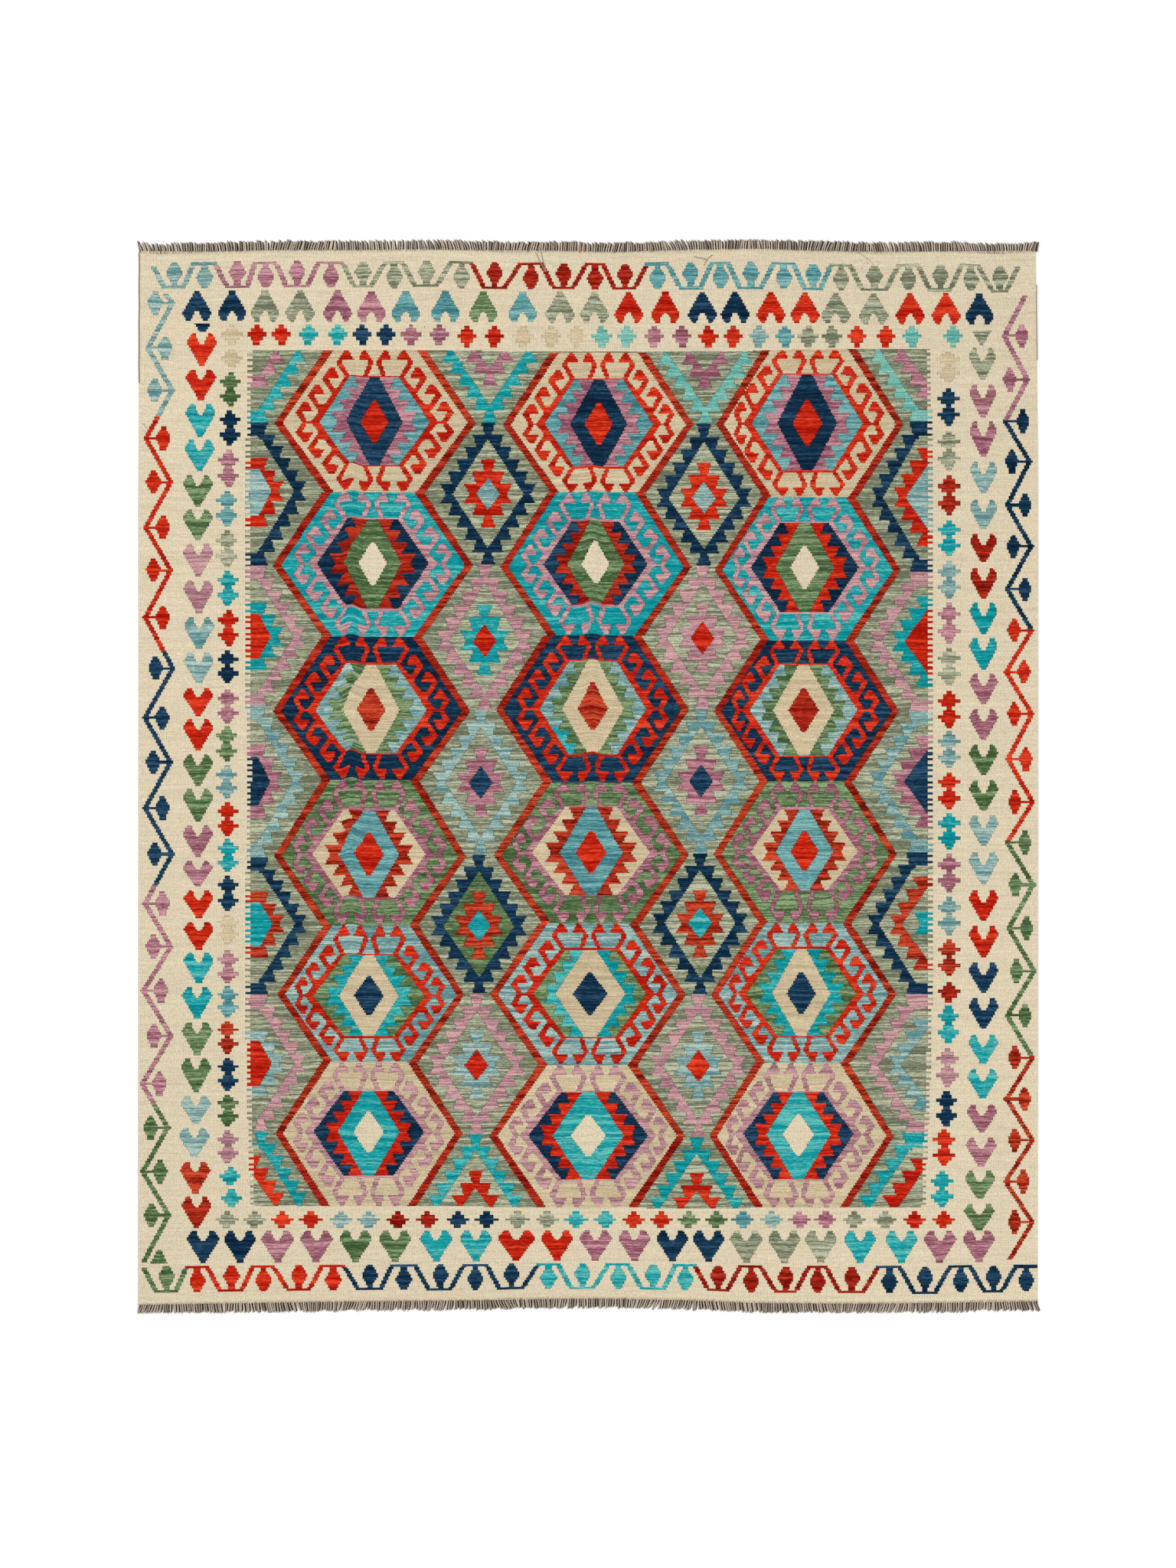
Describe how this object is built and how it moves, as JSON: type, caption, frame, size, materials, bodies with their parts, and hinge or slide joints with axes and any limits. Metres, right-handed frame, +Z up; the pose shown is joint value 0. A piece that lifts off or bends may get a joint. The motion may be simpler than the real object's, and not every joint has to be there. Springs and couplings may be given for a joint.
{
  "type": "kilim rug",
  "caption": "Large flat-woven wool rug with a medallion field, vine borders and short warp fringes, lying flat on a floor",
  "frame": {"origin": "On the floor, under the centre of the rug with its fringes", "axes": "+Z up; +Y along the rug's length, towards the end with the upright hearts in its border; +X across its width"},
  "size_m": [2.5, 2.984, 0.01],
  "materials": {
    "woven_wool": "matt slit-tapestry wool weave",
    "fringe_wool": "matt twisted warp yarn"
  },
  "bodies": {
    "root": {"kilim_cloth": "woven_wool", "fringe_top": "fringe_wool", "fringe_bottom": "fringe_wool"}
  },
  "joints": []
}
